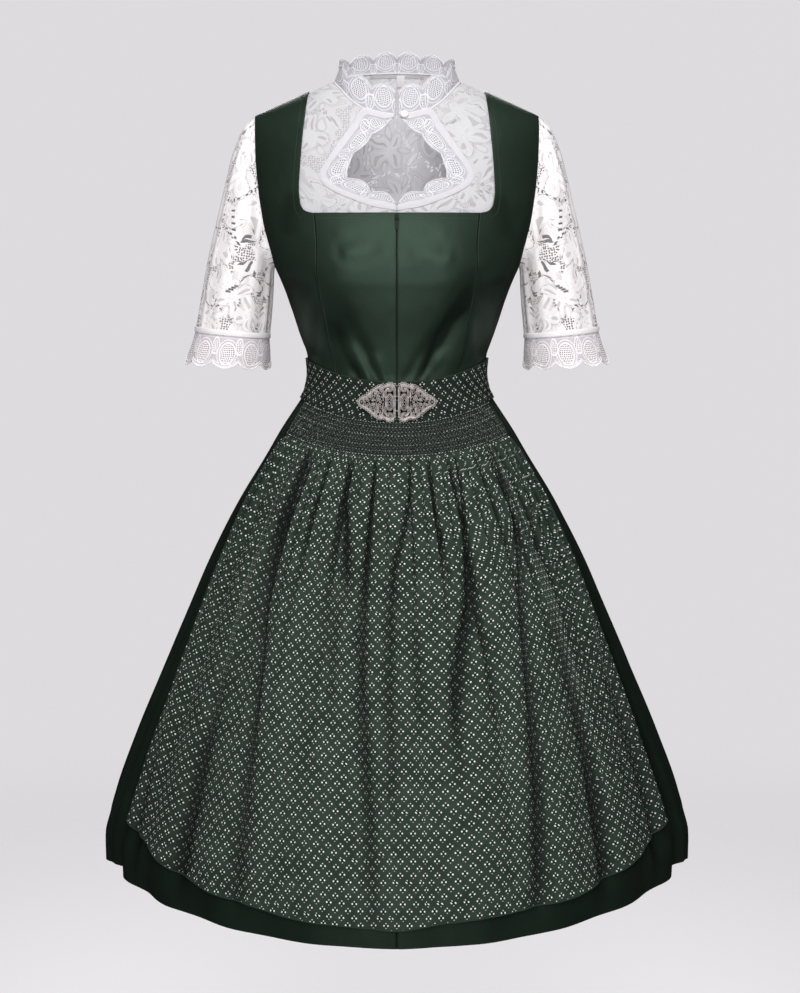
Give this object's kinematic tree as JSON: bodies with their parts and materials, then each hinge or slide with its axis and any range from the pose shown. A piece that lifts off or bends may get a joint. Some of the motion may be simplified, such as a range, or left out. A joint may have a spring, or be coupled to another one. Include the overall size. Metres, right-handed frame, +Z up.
{
  "type": "dirndl_dress",
  "caption": "Dirndl set: dark green sateen bodice and flared skirt, printed half apron with smocked band and filigree clasp, white lace blouse with stand collar.",
  "frame": {"origin": "midway between the two shoulder seams, where the dress is held up", "axes": "+Z up towards the neck, -Y the wearer's front, +X the wearer's left"},
  "size_m": [0.8394, 0.8373, 1.134],
  "materials": {
    "sateen": "dark green cotton sateen with a soft sheen",
    "apron_print": "dark green fabric with a small off-white four-dot print",
    "lace": "white lace with openwork, matt",
    "tape": "white woven tape, matt",
    "clasp_silver": "oxidised silver filigree",
    "zip_metal": "dark green painted slider and pull",
    "pearl": "pearl, glossy"
  },
  "bodies": {
    "garment": {"bodice_centre_front_right": "sateen", "bodice_centre_front_left": "sateen", "bodice_centre_back": "sateen", "bodice_side_front_right": "sateen", "bodice_side_front_left": "sateen", "bodice_side_back_right": "sateen", "bodice_side_back_left": "sateen", "skirt_front_right": "sateen", "skirt_front_left": "sateen", "skirt_back_left": "sateen", "skirt_back_right": "sateen", "apron_smocked_band": "apron_print", "apron_panel": "apron_print", "apron_waistband_right": "apron_print", "apron_waistband_left": "apron_print", "blouse_front_right": "lace", "blouse_front_left": "lace", "blouse_back": "lace", "keyhole_tape_right": "tape", "keyhole_tape_left": "tape", "keyhole_trim_right": "lace", "keyhole_trim_left": "lace", "collar_right": "lace", "collar_left": "lace", "sleeve_front_right": "lace", "sleeve_front_left": "lace", "sleeve_back_right": "lace", "sleeve_back_left": "lace", "cuff_right": "lace", "cuff_left": "lace", "clasp_right": "clasp_silver", "clasp_left": "clasp_silver", "zip_slider": "zip_metal", "pearl_button": "pearl", "neck_tab": "tape"},
    "pull_tab": {"zip_pull": "zip_metal"}
  },
  "joints": [
    {"name": "pull_tab_swing", "type": "hinge", "parent": "garment", "child": "pull_tab", "pos_m": [0, -0.13651, -0.15908], "axis": [-1, 0, 0], "range_deg": [0, 150]}
  ]
}
